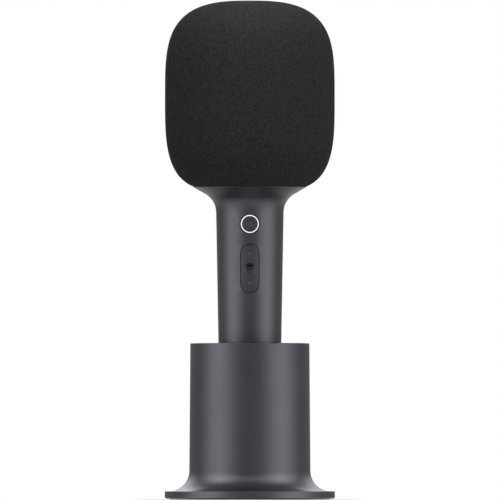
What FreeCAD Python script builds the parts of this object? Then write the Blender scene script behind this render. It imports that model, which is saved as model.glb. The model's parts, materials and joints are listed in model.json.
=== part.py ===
import FreeCAD, Part
import math
import os

# Cordless karaoke microphone standing in its weighted dock.
# Millimetres. +Z up, origin at the middle of the dock's foot, controls facing -Y.
# "Depth" below is the distance in front of the axis, so depth d lies at y = -d.

V = FreeCAD.Vector
ORIGIN = V(0, 0, 0)
RIGHT = V(1, 0, 0)
FRONT = V(0, -1, 0)
UP = V(0, 0, 1)

# ---- Head: two superelliptic curves that meet at the widest ring ----
HEAD_RADIUS = 44.0
HEAD_WAIST_Z = 206.4
CROWN_HEIGHT = 52.1
CROWN_POWERS = (3.83, 2.90)
BOWL_DEPTH = 46.95
BOWL_POWERS = (3.20, 4.40)
FABRIC_EDGE_Z = 162.1
FABRIC_THICK = 0.9
CAGE_THICK = 1.6
GLUE_GAP = 0.05
CURVE_POINTS = 11
CAGE_SLOTS = 24
CAGE_SLOT_WIDTH = 5.0
UPPER_SLOT_Z = (212.0, 234.0)
LOWER_SLOT_Z = (176.0, 198.0)
CROWN_HOLE_RADIUS = 2.4
CROWN_HOLE_RINGS = ((8.0, 6), (16.0, 12), (24.0, 16))
CAGE_FOOT_RADIUS = 27.6
CAGE_CLAMP_RADIUS = 22.5
CAGE_LIP_THICK = 1.5
CAGE_LIP_HEIGHT = 2.0

# ---- Handle: a slightly tapered tube that flares out under the head ----
HANDLE_FOOT_Z = 12.0
HANDLE_FOOT_RADIUS = 15.1
HANDLE_TAPER = 0.0176
FLARE_CORNER_Z = 155.15
FLARE_BLEND = 11.0
DECK_Z = 162.0
DECK_RADIUS = 29.65
HANDLE_WALL = 1.8
SHOULDER_Z = 158.0
NECK_Z = 149.5
NECK_BORE = 15.6
NECK_COUNTERBORE = 17.0
CORING_RADII = (18.8, 20.2, 25.4)
CORING_FLOOR_Z = (158.2, 158.4, 161.0)

# ---- Controls on the front of the handle ----
POWER_Z = 142.6
LED_HOLE_RADIUS = 5.22
LED_OUTER_RADIUS = 4.68
LED_INNER_RADIUS = 4.1
LED_FLANGE_RADIUS = 5.8
LED_BACK = 13.2
POWER_KEY_RADIUS = 3.66
POWER_LIP_RADIUS = 5.0
ICON_RADIUS = 1.15
ICON_TOP = 1.3
ICON_GAP_HALF = 0.42
ROCKER_Z = 119.6
ROCKER_WIDTH = 9.0
ROCKER_HEIGHT = 25.0
ROCKER_BACK = 12.5
ROCKER_LIP = 1.3
MODE_RADIUS = 2.5
MODE_HOLE_RADIUS = 2.68
MODE_HOLE_EDGE = 0.6
MODE_RECESS = 0.5
MODE_DOME = 0.4
MODE_EDGE = 0.25
MODE_BACK = 11.7
KEY_GAP = 0.3
KEY_EDGE = 0.2
KEY_LIP_THICK = 0.8
MARK_DEPTH = 0.12
MARK_HALF_WIDTH = 0.18
MARK_REACH = 0.85
HINGE_DEPTH = 12.9
TRUNNION_RADIUS = 0.5
TRUNNION_REACH = 6.8
VOLUME_PAD_OFFSET = 7.6
KEY_SPACE = 20.0
FRAME_FRONT = 11.7
FRAME_BACK = 10.9
FRAME_HALF_WIDTH = 8.2
FRAME_Z = (104.0, 150.0)
FRAME_LEG_X = 7.2
FRAME_LEG_Z = (105.0, 134.0, 146.0)
SWITCH_TOP = 10.5
BOARD_FRONT = 9.0
BOARD_BACK = 7.8

# ---- Power and electronics inside the handle ----
CHASSIS_RADIUS = 13.0
CHASSIS_WALL = 1.6
CHASSIS_MOUTH = 6.6
CHASSIS_PARTITION = 1.8
RAIL_X = (8.0, 11.0)
RAIL_BACK = 4.6
CELL_RADIUS = 9.2
CELL_LENGTH = 65.0
CELL_FOOT_Z = 28.5
CELL_Y = 1.8
CELL_CAP_Z = CELL_FOOT_Z + CELL_LENGTH - 0.4
CAP_RADIUS = 13.1
CAP_FOOT_Z = 12.3
CAP_TOP_Z = 18.0
CAP_SCREW_X = 9.2
SOCKET_HALF_DEPTH = 1.58
SOCKET_WIDTH = 8.9
BOARD_FOOT_Z = 97.0
BOARD_TOP_Z = 152.0
BOARD_HALF_WIDTH = 10.8
BOARD_SCREWS = [(x, z) for x in (-9.2, 9.2) for z in (100.5, 148.5)]
LEAD_RADIUS = 0.55
LEAD_LANE = 6.6

# ---- Speakers and capsule inside the head ----
HOUSING_Z = 206.0
HOUSING_RADIUS = 25.0
HOUSING_BORE = 20.5
HOUSING_HALF_LENGTH = 25.0
PARTITION_HALF = 2.5
TOP_BOSS_Z = 232.0
HEAD_BASE_RADIUS = 25.6
HEAD_BASE_SPIGOT = 22.3
HEAD_BASE_Z = 163.8
HEAD_BASE_THICK = 2.5
HEAD_BASE_TOP = HEAD_BASE_Z + HEAD_BASE_THICK
DECK_SCREW_RADIUS = 21.0
DECK_SCREWS = 3
DECK_SCREW_ANGLE = 30.0
PEDESTAL_RADIUS = 11.0
PEDESTAL_FOOT_RADIUS = 17.0
PEDESTAL_SCREW_RADIUS = 14.0
DRIVER_SCREW_RADIUS = 22.7
WIRE_BORE = 9.0
CAPSULE_RADIUS = 8.0
CAPSULE_Z = (236.0, 246.5)
MOUNT_WALL_RADIUS = 9.6
MOUNT_TOP_Z = 244.0
FOAM_RADIUS = 24.0
FOAM_FOOT_Z = 247.0
FOAM_POCKET = (10.2, 251.0)

# ---- Speaker driver, along its own axis, measured from the middle of the housing ----
BASKET_RADIUS = 24.6
BASKET_RIM = 1.4
BASKET_BACK = 13.0
CONE_MOUTH_RADIUS = 15.9
CONE_NECK_RADIUS = 5.2
CONE_MOUTH = 25.4
CONE_NECK = 18.0
CONE_PAPER = 0.5
COIL_WALL = 0.4
COIL_BACK = 11.6
DUST_CAP_RISE = 1.6
DUST_CAP_RADIUS = 5.4
DUST_CAP_THICK = 0.35
ROLL_RADII = (15.95, 18.3)
ROLL_FOOT = 25.45
ROLL_THICK = 0.35
SPIDER_RADII = (5.25, 10.85)
SPIDER_FRONT = 16.8
SPIDER_THICK = 0.4
MAGNET_RADIUS = 10.0
POLE_RADIUS = 4.3
MAGNET_BACK = 4.6

# ---- Dock: a drafted cylinder that sweeps out into a round foot ----
DOCK_TOP_Z = 81.0
DOCK_TOP_RADIUS = 30.88
DOCK_FOOT_CORNER_RADIUS = 31.48
DOCK_SWEEP = 10.6
DOCK_TOP_EDGE = 0.6
FLANGE_EDGE = 0.3
DOCK_WALL = 2.4
DOCK_DECK_THICK = 3.0
FLANGE_RADIUS = 44.1
FLANGE_TOP_Z = 4.2
FLANGE_BOTTOM_Z = 0.3
FLANGE_BEVEL = (0.9, 0.5)  # width and height
CUP_RADIUS = 17.6
CUP_FOOT_Z = 7.0
CUP_LIP_RADIUS = 19.4
CUP_COLLAR = 2.0
CUP_CLEARANCE = 0.4
REST_PAD_Z = 9.0
FOOT_PAD_RADIUS = 41.6
FOOT_PAD_THICK = 1.2
BASE_TOP_Z = 3.1
BASE_SCREW_RADIUS = 29.6
BALLAST_RADIUS = 26.0
BALLAST_TOP_Z = 34.0
BALLAST_SCREW_RADIUS = 22.0
BOSS_TOP_Z = 9.0

# ---- General ----
PAST = 1.0  # how far a cutting tool runs past the face that it opens
FULL_TURN = 360.0
PARTS_FOLDER = "parts"


# ---------------------------------------------------------------- geometry helpers

def rz(r, z):
    """Point of a lathe section: radius r, height z."""
    return V(r, 0, z)


def line(a, b):
    return Part.LineSegment(a, b).toShape()


def polyline(points):
    return [line(a, b) for a, b in zip(points, points[1:])]


def rounded(points, radii):
    """Edges along points, with each inner corner rounded by its radius (0 keeps it sharp)."""
    edges = []
    start = points[0]
    for before, corner, after, radius in zip(points, points[1:], points[2:], radii):
        if radius == 0:
            edges.append(line(start, corner))
            start = corner
            continue
        back = (before - corner).normalize()
        ahead = (after - corner).normalize()
        half = math.acos(max(-1.0, min(1.0, back.dot(ahead)))) / 2
        reach = radius / math.tan(half)
        bisector = (back + ahead).normalize()
        centre = corner + bisector * (radius / math.sin(half))
        arc_start = corner + back * reach
        arc_end = corner + ahead * reach
        arc_middle = centre - bisector * radius
        edges.append(line(start, arc_start))
        edges.append(Part.Arc(arc_start, arc_middle, arc_end).toShape())
        start = arc_end
    edges.append(line(start, points[-1]))
    return edges


def lathe(edges):
    """Solid turned about +Z from a closed section of edges."""
    section = Part.Face(Part.Wire(Part.__sortEdges__(edges)))
    return section.revolve(ORIGIN, UP, FULL_TURN)


def lathe_polygon(points):
    return lathe(polyline(points + points[:1]))


def ring(outer, inner, low, high):
    """Plain ring about +Z."""
    return disc(outer, low, high).cut(Part.makeCylinder(inner, high - low, V(0, 0, low), UP))


def disc(radius, low, high, x=0.0, y=0.0):
    return Part.makeCylinder(radius, high - low, V(x, y, low), UP)


def peg(radius, z, near, far, x=0.0):
    """Cylinder along the front axis at height z, between two depths."""
    return Part.makeCylinder(radius, far - near, V(x, -near, z), FRONT)


def box(x, y, z):
    """Box between pairs of coordinates."""
    return Part.makeBox(x[1] - x[0], y[1] - y[0], z[1] - z[0], V(x[0], y[0], z[0]))


def front_box(x, depth, z):
    """Box whose y range is given as two depths in front of the axis."""
    return box(x, (-depth[1], -depth[0]), z)


def stadium(width, height, z, near, far):
    """Upright slot shape at height z, between two depths."""
    radius = width / 2
    straight = height / 2 - radius
    body = front_box((-radius, radius), (near, far), (z - straight, z + straight))
    ends = [peg(radius, z + side * straight, near, far) for side in (-1, 1)]
    return body.fuse(ends).removeSplitter()


def spun(shape, angle):
    copy = shape.copy()
    copy.rotate(ORIGIN, UP, angle)
    return copy


def around(shape, count, first=0.0):
    """Copies of a shape spread evenly about +Z."""
    return [spun(shape, first + FULL_TURN * i / count) for i in range(count)]


def soften(solid, radius, wanted):
    """Rounds the edges that wanted() picks."""
    edges = [e for e in solid.Edges if wanted(e)]
    smooth = solid.makeFillet(radius, edges)
    if not smooth.isValid():
        raise ValueError(f"a {radius} mm round on {len(edges)} edges came out unsound")
    return smooth


def pan_screw(x, y, head_top, head_radius, head_height, shank_radius, shank_bottom):
    """Screw along +Z with its head on top."""
    head = disc(head_radius, head_top - head_height, head_top, x, y)
    shank = disc(shank_radius, shank_bottom, head_top - head_height, x, y)
    slot = box((x - head_radius, x + head_radius), (y - 0.2, y + 0.2), (head_top - 0.4, head_top + 1))
    return head.fuse(shank).cut(slot)


def upturned(screw, z):
    """Turns a screw over about the height z, so that its head is at the bottom."""
    copy = screw.copy()
    copy.rotate(V(0, 0, z), RIGHT, 180)
    return copy


def lead(points, radius=LEAD_RADIUS):
    """Insulated wire along straight runs joined by the largest tangent arcs that fit."""
    radii = []
    for before, corner, after in zip(points, points[1:], points[2:]):
        back = before - corner
        ahead = after - corner
        turn = math.pi - back.getAngle(ahead)
        radii.append(0.45 * min(back.Length, ahead.Length) / math.tan(turn / 2))
    path = Part.Wire(rounded(points, radii))
    direction = points[1] - points[0]
    profile = Part.Wire(Part.Circle(points[0], direction, radius).toShape())
    wire = path.makePipeShell([profile], True, True)
    expected = math.pi * radius ** 2 * path.Length
    print(f"lead: arcs {[round(r, 1) for r in radii]}, volume/expected {wire.Volume / expected:.3f}")
    return wire


# ---------------------------------------------------------------- head outline

def head_point(angle, inset, upper):
    """Point of the head outline at a parameter angle, moved inwards along the surface normal."""
    height, (p, q) = (CROWN_HEIGHT, CROWN_POWERS) if upper else (BOWL_DEPTH, BOWL_POWERS)
    sign = 1 if upper else -1
    rise = max(math.sin(angle), 0.0) ** (2 / p)
    reach = max(math.cos(angle), 0.0) ** (2 / q)
    normal = V(q / HEAD_RADIUS * reach ** (q - 1), 0, sign * p / height * rise ** (p - 1)).normalize()
    surface = rz(HEAD_RADIUS * reach, HEAD_WAIST_Z + sign * height * rise)
    return surface - normal * inset


def bowl_end_angle(z):
    """Parameter angle at which the lower curve reaches height z."""
    share = (HEAD_WAIST_Z - z) / BOWL_DEPTH
    return math.asin(share ** (BOWL_POWERS[0] / 2))


def head_curve(inset, upper, end_angle):
    """Edge of the head outline from the widest ring to an end angle."""
    steps = [end_angle * i / (CURVE_POINTS - 1) for i in range(CURVE_POINTS)]
    curve = Part.BSplineCurve()
    curve.interpolate([head_point(a, inset, upper) for a in steps])
    return curve.toShape()


def crown_curve(inset):
    return head_curve(inset, True, math.pi / 2)


def bowl_curve(inset):
    return head_curve(inset, False, bowl_end_angle(FABRIC_EDGE_Z))


def curve_end(inset, upper):
    end_angle = math.pi / 2 if upper else bowl_end_angle(FABRIC_EDGE_Z)
    return head_point(end_angle, inset, upper)


def fabric_cover():
    """Knitted sleeve stretched over the cage, one skin from the crown to the handle's rim."""
    inner = FABRIC_THICK
    edges = [crown_curve(0), bowl_curve(0), crown_curve(inner), bowl_curve(inner)]
    edges.append(line(curve_end(0, True), curve_end(inner, True)))
    edges.append(line(curve_end(0, False), curve_end(inner, False)))
    return lathe(edges)


def cage_slots(z_range):
    """Sound slots through a cage wall, standing upright around the head."""
    half = CAGE_SLOT_WIDTH / 2
    return around(box((HEAD_RADIUS / 2, HEAD_RADIUS + PAST), (-half, half), z_range), CAGE_SLOTS)


def cage_upper():
    """Moulded dome under the fabric, with slots on its side and holes in its crown."""
    outer = FABRIC_THICK + GLUE_GAP
    inner = outer + CAGE_THICK
    edges = [crown_curve(outer), crown_curve(inner)]
    edges.append(line(curve_end(outer, True), curve_end(inner, True)))
    edges.append(line(head_point(0, outer, True), head_point(0, inner, True)))
    dome = lathe(edges)
    low, high = UPPER_SLOT_Z[1], HEAD_WAIST_Z + CROWN_HEIGHT
    holes = cage_slots(UPPER_SLOT_Z)
    holes.append(disc(CROWN_HOLE_RADIUS, low, high))
    for radius, count in CROWN_HOLE_RINGS:
        holes += around(disc(CROWN_HOLE_RADIUS, low, high, x=radius), count)
    return dome.cut(holes)


def cage_lower():
    """Moulded bowl under the fabric; its inner flange is clamped between handle and head base."""
    outer = FABRIC_THICK + GLUE_GAP
    inner = outer + CAGE_THICK
    edges = [bowl_curve(outer), bowl_curve(inner)]
    edges.append(line(head_point(0, outer, False), head_point(0, inner, False)))
    edges += polyline([
        curve_end(outer, False),
        rz(CAGE_FOOT_RADIUS, DECK_Z),
        rz(CAGE_CLAMP_RADIUS, DECK_Z),
        rz(CAGE_CLAMP_RADIUS, HEAD_BASE_Z),
        rz(HEAD_BASE_RADIUS + 0.4, HEAD_BASE_Z),
        curve_end(inner, False),
    ])
    bowl = lathe(edges).cut(cage_slots(LOWER_SLOT_Z))
    wall = HEAD_RADIUS - inner
    rooted = ring(wall + 0.3, wall - CAGE_LIP_THICK, HEAD_WAIST_Z - 3, HEAD_WAIST_Z)
    proud = ring(wall - 0.15, wall - CAGE_LIP_THICK, HEAD_WAIST_Z, HEAD_WAIST_Z + CAGE_LIP_HEIGHT)
    return bowl.fuse(rooted.fuse(proud))


# ---------------------------------------------------------------- handle

def handle_radius(z):
    return HANDLE_FOOT_RADIUS + HANDLE_TAPER * (z - HANDLE_FOOT_Z)


def handle_envelope():
    """Solid inside the handle's outer surface."""
    corner = rz(handle_radius(FLARE_CORNER_Z), FLARE_CORNER_Z)
    outline = [
        rz(0, HANDLE_FOOT_Z),
        rz(HANDLE_FOOT_RADIUS, HANDLE_FOOT_Z),
        corner,
        rz(DECK_RADIUS, DECK_Z),
        rz(0, DECK_Z),
    ]
    return lathe(rounded(outline, [1.2, FLARE_BLEND, 0.15]) + [line(outline[-1], outline[0])])


def handle_bore():
    """Hollow of the handle: tapered tube, shoulder for the chassis and open neck."""
    foot = HANDLE_FOOT_Z - PAST
    return lathe_polygon([
        rz(0, foot),
        rz(handle_radius(foot) - HANDLE_WALL, foot),
        rz(NECK_BORE, NECK_Z),
        rz(NECK_BORE, SHOULDER_Z),
        rz(NECK_COUNTERBORE, SHOULDER_Z),
        rz(NECK_COUNTERBORE, DECK_Z + PAST),
        rz(0, DECK_Z + PAST),
    ])


def flare_coring():
    """Ring-shaped pocket that keeps the flare's wall thin."""
    floor = [rz(r, z) for r, z in zip(CORING_RADII, CORING_FLOOR_Z)]
    return lathe_polygon([rz(CORING_RADII[0], DECK_Z + PAST)] + floor + [rz(CORING_RADII[-1], DECK_Z + PAST)])


def handle_shell(envelope):
    """One-piece outer casing of the handle."""
    shell = envelope.cut([handle_bore(), flare_coring()])
    boss = disc(1.9, SHOULDER_Z, DECK_Z, x=DECK_SCREW_RADIUS).common(envelope)
    shell = shell.fuse(around(boss, DECK_SCREWS, DECK_SCREW_ANGLE))
    pilot = disc(0.9, SHOULDER_Z + 1.3, DECK_Z + PAST, x=DECK_SCREW_RADIUS)
    led_hole = peg(LED_HOLE_RADIUS, POWER_Z, ROCKER_BACK, KEY_SPACE)
    hole_size = (ROCKER_WIDTH + 2 * KEY_GAP, ROCKER_HEIGHT + 2 * KEY_GAP)
    rocker_hole = stadium(*hole_size, ROCKER_Z, ROCKER_BACK, KEY_SPACE)
    shell = shell.cut(around(pilot, DECK_SCREWS, DECK_SCREW_ANGLE) + [led_hole, rocker_hole])
    return soften(shell, KEY_EDGE, outer_hole_edge)


def outer_hole_edge(edge):
    """True for the visible rims of the two openings in the handle's front."""
    bounds = edge.BoundBox
    in_controls = ROCKER_Z - ROCKER_HEIGHT < bounds.ZMin and bounds.ZMax < POWER_Z + 2 * LED_HOLE_RADIUS
    narrow = abs(bounds.XMin) < LED_FLANGE_RADIUS and abs(bounds.XMax) < LED_FLANGE_RADIUS
    return in_controls and narrow and front_edge(edge)


def front_edge(edge):
    """True for the rims in the handle's outer surface, and not for those inside its wall."""
    return edge.BoundBox.YMax < -(HANDLE_FOOT_RADIUS + 0.8)


def led_ring(envelope):
    """Translucent light guide around the power key, with a fixing flange inside the wall."""
    tube = peg(LED_OUTER_RADIUS, POWER_Z, LED_BACK, KEY_SPACE).common(envelope)
    flange = peg(LED_FLANGE_RADIUS, POWER_Z, LED_BACK, LED_BACK + 1.0)
    bore = peg(LED_INNER_RADIUS, POWER_Z, LED_BACK - PAST, KEY_SPACE)
    return soften(tube.fuse(flange).cut(bore), KEY_EDGE / 2, front_edge)


def power_icon():
    """Engraved line-in-circle symbol on the power key."""
    front = handle_radius(POWER_Z)
    floor = front - MARK_DEPTH
    through = (floor - PAST, front + 2 * PAST)
    arc = peg(ICON_RADIUS, POWER_Z, floor, front + PAST)
    arc = arc.cut(peg(ICON_RADIUS - 2 * MARK_HALF_WIDTH, POWER_Z, *through))
    gap = front_box((-ICON_GAP_HALF, ICON_GAP_HALF), through, (POWER_Z, POWER_Z + ICON_TOP))
    bar = front_box(
        (-MARK_HALF_WIDTH, MARK_HALF_WIDTH),
        (floor, front + PAST),
        (POWER_Z + 0.25, POWER_Z + ICON_TOP),
    )
    return arc.cut(gap).fuse(bar)


def power_button(envelope):
    cap = peg(POWER_KEY_RADIUS, POWER_Z, 12.4, KEY_SPACE).common(envelope)
    cap = soften(cap, KEY_EDGE, front_edge)
    lip = peg(POWER_LIP_RADIUS, POWER_Z, 12.0, 12.9)
    return cap.fuse(lip).cut(power_icon())


def volume_icons():
    """Engraved plus above and minus below the mode key."""
    thin = (-MARK_HALF_WIDTH, MARK_HALF_WIDTH)
    wide = (-MARK_REACH, MARK_REACH)
    marks = []
    for side, strokes in ((1, ((wide, thin), (thin, wide))), (-1, ((wide, thin),))):
        z = ROCKER_Z + side * VOLUME_PAD_OFFSET
        depth = (handle_radius(z) - MARK_DEPTH, KEY_SPACE)
        for across_mark, along_mark in strokes:
            marks.append(front_box(across_mark, depth, (z + along_mark[0], z + along_mark[1])))
    return marks


def volume_rocker(envelope):
    """Stadium-shaped key on two side trunnions, with a clear hole for the mode key."""
    hole = peg(MODE_HOLE_RADIUS, ROCKER_Z, MODE_BACK - PAST, KEY_SPACE)
    cap = stadium(ROCKER_WIDTH, ROCKER_HEIGHT, ROCKER_Z, ROCKER_BACK, KEY_SPACE).common(envelope)
    cap = soften(cap, KEY_EDGE, front_edge).cut(hole)
    cap = soften(cap, MODE_HOLE_EDGE, mode_hole_rim)
    lip_size = (ROCKER_WIDTH + 2 * ROCKER_LIP, ROCKER_HEIGHT + 2 * ROCKER_LIP - 0.2)
    lip = stadium(*lip_size, ROCKER_Z, ROCKER_BACK, ROCKER_BACK + KEY_LIP_THICK)
    axle_end = V(-TRUNNION_REACH, -HINGE_DEPTH, ROCKER_Z)
    axle = Part.makeCylinder(TRUNNION_RADIUS, 2 * TRUNNION_REACH, axle_end, RIGHT)
    return cap.fuse([lip.cut(hole), axle.cut(hole)]).cut(volume_icons())


def mode_hole_rim(edge):
    """True for the rocker's visible rim round the mode key."""
    bounds = edge.BoundBox
    return front_edge(edge) and max(-bounds.XMin, bounds.XMax) < MODE_HOLE_RADIUS + KEY_EDGE


def mode_button():
    """Round glossy key in the middle of the rocker, with a domed top and a rounded rim."""
    rim = handle_radius(ROCKER_Z) - MODE_RECESS
    sphere = (MODE_RADIUS ** 2 + MODE_DOME ** 2) / (2 * MODE_DOME)
    dome = Part.makeSphere(sphere, V(0, 0, rim + MODE_DOME - sphere))
    stem = disc(MODE_RADIUS, MODE_BACK, rim + MODE_DOME + PAST).common(dome)
    stem = soften(stem, MODE_EDGE, dome_rim)
    key = stem.fuse(disc(MODE_RADIUS + 0.7, MODE_BACK, MODE_BACK + 0.5))
    key.rotate(ORIGIN, RIGHT, 90)
    key.translate(V(0, 0, ROCKER_Z))
    return key


def dome_rim(edge):
    """True for the circle where the mode key's side meets its dome, while the key still points up."""
    bounds = edge.BoundBox
    return bounds.ZMin > MODE_BACK + PAST and bounds.XLength > 1.9 * MODE_RADIUS


def button_frame():
    """Carrier behind the keys: guides the key pads and holds the rocker's trunnions in two saddles."""
    plate = front_box((-FRAME_HALF_WIDTH, FRAME_HALF_WIDTH), (FRAME_BACK, FRAME_FRONT), FRAME_Z)
    saddle_x = (TRUNNION_REACH - 0.75, TRUNNION_REACH + 0.05)
    saddle = front_box(saddle_x, (FRAME_FRONT - 0.1, HINGE_DEPTH + 0.3), (ROCKER_Z - 1.6, ROCKER_Z + 1.6))
    bearing_radius = TRUNNION_RADIUS + 0.05
    span = 2 * FRAME_HALF_WIDTH
    bearing = Part.makeCylinder(bearing_radius, span, V(-FRAME_HALF_WIDTH, -HINGE_DEPTH, ROCKER_Z), RIGHT)
    mouth = front_box(
        (-FRAME_HALF_WIDTH, FRAME_HALF_WIDTH),
        (HINGE_DEPTH, HINGE_DEPTH + PAST),
        (ROCKER_Z - bearing_radius, ROCKER_Z + bearing_radius),
    )
    legs = [
        peg(1.0, z, BOARD_FRONT, FRAME_BACK + 0.1, side * FRAME_LEG_X)
        for side in (-1, 1)
        for z in FRAME_LEG_Z
    ]
    openings = [
        peg(radius, z, FRAME_BACK - PAST, FRAME_FRONT + 0.8)
        for radius, z in (
            (5.3, POWER_Z),
            (3.6, ROCKER_Z),
            (2.2, ROCKER_Z + VOLUME_PAD_OFFSET),
            (2.2, ROCKER_Z - VOLUME_PAD_OFFSET),
        )
    ]
    return plate.fuse([saddle, saddle.mirror(ORIGIN, RIGHT)] + legs).cut([bearing, mouth] + openings)


def key_pad(z, flange_radius, stem_radius, stem_top):
    """Silicone pad that presses a switch: thin flange under the frame and a stem up to the key."""
    flange = peg(flange_radius, z, SWITCH_TOP, FRAME_BACK)
    stem = peg(stem_radius, z, SWITCH_TOP, stem_top)
    return flange.fuse(stem)


def power_key_pad():
    return key_pad(POWER_Z, 6.4, 1.8, 12.0)


def mode_key_pad():
    return key_pad(ROCKER_Z, 4.2, 1.6, MODE_BACK)


def volume_key_pads():
    pads = [key_pad(ROCKER_Z + side * VOLUME_PAD_OFFSET, 3.2, 1.8, ROCKER_BACK) for side in (-1, 1)]
    return Part.makeCompound(pads)


def tact_switches():
    """Low switches on the board, one behind each key pad: square can with a round actuator."""
    can_half_width, can_half_height, can_drop, actuator_radius = 2.6, 1.9, 0.3, 1.1
    switches = []
    for z in (POWER_Z, ROCKER_Z + VOLUME_PAD_OFFSET, ROCKER_Z, ROCKER_Z - VOLUME_PAD_OFFSET):
        can = front_box(
            (-can_half_width, can_half_width),
            (BOARD_FRONT, SWITCH_TOP - can_drop),
            (z - can_half_height, z + can_half_height),
        )
        switches.append(can.fuse(peg(actuator_radius, z, BOARD_FRONT, SWITCH_TOP)))
    return Part.makeCompound(switches)


def led_emitters():
    """Four small lamps on the board that feed the light ring."""
    width, height, thick = 1.6, 1.0, 0.8
    lamps = []
    for x in (-4.1, 4.1):
        for z in (POWER_Z - 3.5, POWER_Z + 3.5):
            lamps.append(front_box(
                (x - width / 2, x + width / 2),
                (BOARD_FRONT, BOARD_FRONT + thick),
                (z - height / 2, z + height / 2),
            ))
    return Part.makeCompound(lamps)


def main_board():
    width = (-BOARD_HALF_WIDTH, BOARD_HALF_WIDTH)
    board = front_box(width, (BOARD_BACK, BOARD_FRONT), (BOARD_FOOT_Z, BOARD_TOP_Z))
    return board.cut([peg(1.1, z, BOARD_BACK - PAST, BOARD_FRONT + PAST, x) for x, z in BOARD_SCREWS])


def board_screws():
    """Four screws that hold the board to the chassis rails."""
    head_radius, head_height, shank_radius, shank_end = 1.7, 1.0, 0.8, 5.4
    screws = []
    for x, z in BOARD_SCREWS:
        head = peg(head_radius, z, BOARD_FRONT, BOARD_FRONT + head_height, x)
        screws.append(head.fuse(peg(shank_radius, z, shank_end, BOARD_FRONT, x)))
    return Part.makeCompound(screws)


def board_chip(half_width, z, height, x=0.0):
    """Component on the back of the board."""
    return front_box((x - half_width, x + half_width), (BOARD_BACK - height, BOARD_BACK), z)


def board_connectors():
    """Sockets for the speaker and capsule leads, the cell and the charging board."""
    charge_header = front_box((1.0, 5.0), (BOARD_FRONT, BOARD_FRONT + 1.8), (100.4, 103.2))
    return Part.makeCompound([
        board_chip(4.5, (147.0, 151.0), 2.4),
        board_chip(2.5, (99.9, 103.5), 2.2),
        charge_header,
    ])


def chassis():
    """Inner frame: a trough that carries the cell and the board and hangs from the handle's shoulder."""
    inner = CHASSIS_RADIUS - CHASSIS_WALL
    cell_top = CELL_FOOT_Z + CELL_LENGTH
    mouth = front_box((-20, 20), (CHASSIS_MOUTH, 20), (0, BOARD_TOP_Z + 18))
    partition_mouth = front_box((-20, 20), (CHASSIS_MOUTH - 0.4, 20), (0, BOARD_TOP_Z + 18))
    trough = ring(CHASSIS_RADIUS, inner, CAP_TOP_Z, SHOULDER_Z + 0.1).cut(mouth)
    partitions = [
        disc(inner + 0.2, low, high).cut(partition_mouth)
        for low, high in (
            (CAP_TOP_Z, CAP_TOP_Z + 2.0),
            (CELL_FOOT_Z - CHASSIS_PARTITION, CELL_FOOT_Z),
            (cell_top, cell_top + CHASSIS_PARTITION),
        )
    ]
    rail = front_box(RAIL_X, (RAIL_BACK, BOARD_BACK), (BOARD_FOOT_Z - 2, BOARD_TOP_Z - 1))
    top = ring(NECK_COUNTERBORE - 0.2, WIRE_BORE, SHOULDER_Z, DECK_Z)
    bosses = [disc(2.7, CAP_TOP_Z, CELL_FOOT_Z - CHASSIS_PARTITION, x=side * CAP_SCREW_X) for side in (-1, 1)]
    body = trough.fuse(partitions + [rail, rail.mirror(ORIGIN, RIGHT), top] + bosses).removeSplitter()
    cuts = [disc(1.0, CAP_TOP_Z - PAST, 25.0, x=side * CAP_SCREW_X) for side in (-1, 1)]
    cuts += [peg(0.85, z, 5.0, BOARD_BACK + PAST, x) for x, z in BOARD_SCREWS]
    cuts.append(box((-6.2, 6.2), (-3.0, 3.2), (CAP_TOP_Z - PAST, CAP_TOP_Z + 3.0)))
    return body.cut(cuts)


def battery_cell():
    """Cylindrical rechargeable cell with its raised positive cap."""
    can_top = CELL_FOOT_Z + CELL_LENGTH - 0.8
    can = disc(CELL_RADIUS, CELL_FOOT_Z, can_top, y=CELL_Y)
    can = soften(can, 0.6, lambda e: e.Length > CELL_RADIUS * 5)
    return can.fuse(disc(CELL_RADIUS / 3, can_top - 4, CELL_CAP_Z, y=CELL_Y))


def battery_tab():
    """Nickel strip from the cell's cap to the front, where the lead starts."""
    return box((-2.0, 2.0), (-LEAD_LANE - 0.8, CELL_Y + 1.5), (CELL_CAP_Z, CELL_CAP_Z + 0.2))


def bottom_cap():
    """Plug in the handle's lower end, with the charging slot and two countersunk screws."""
    foot = CAP_FOOT_Z - PAST
    cap = disc(CAP_RADIUS, CAP_FOOT_Z, CAP_TOP_Z)
    cap = soften(cap, 0.4, lambda e: e.BoundBox.ZMax < CAP_FOOT_Z + 0.1 and e.Length > CAP_RADIUS * 5)
    slot = charge_slot(SOCKET_WIDTH + 0.4, 2 * SOCKET_HALF_DEPTH + 0.34, foot, CAP_TOP_Z + PAST)
    holes = []
    for side in (-1, 1):
        holes.append(disc(1.05, foot, CAP_TOP_Z + PAST, x=side * CAP_SCREW_X))
        holes.append(disc(2.0, foot, CAP_FOOT_Z + 1.3, x=side * CAP_SCREW_X))
    board_pocket = box((-6.4, 6.4), (SOCKET_HALF_DEPTH, 3.0), (14.5, CAP_TOP_Z + PAST))
    return cap.cut([slot, board_pocket] + holes)


def charge_slot(width, height, low, high):
    """Rounded slot shape along +Z for the charging socket."""
    radius = height / 2
    straight = width / 2 - radius
    body = box((-straight, straight), (-radius, radius), (low, high))
    return body.fuse([disc(radius, low, high, x=side * straight) for side in (-1, 1)]).removeSplitter()


def charge_socket():
    """Metal shell of the charging socket with its contact tongue."""
    wall = 0.3
    mouth, back, top = 12.5, 18.6, 19.6
    height = 2 * SOCKET_HALF_DEPTH
    bore = charge_slot(SOCKET_WIDTH - 2 * wall, height - 2 * wall, mouth - PAST, back)
    shell = charge_slot(SOCKET_WIDTH, height, mouth, top).cut(bore)
    tongue = box((-3.3, 3.3), (-0.35, 0.35), (mouth + 0.8, back + 0.1))
    return shell.fuse(tongue)


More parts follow.
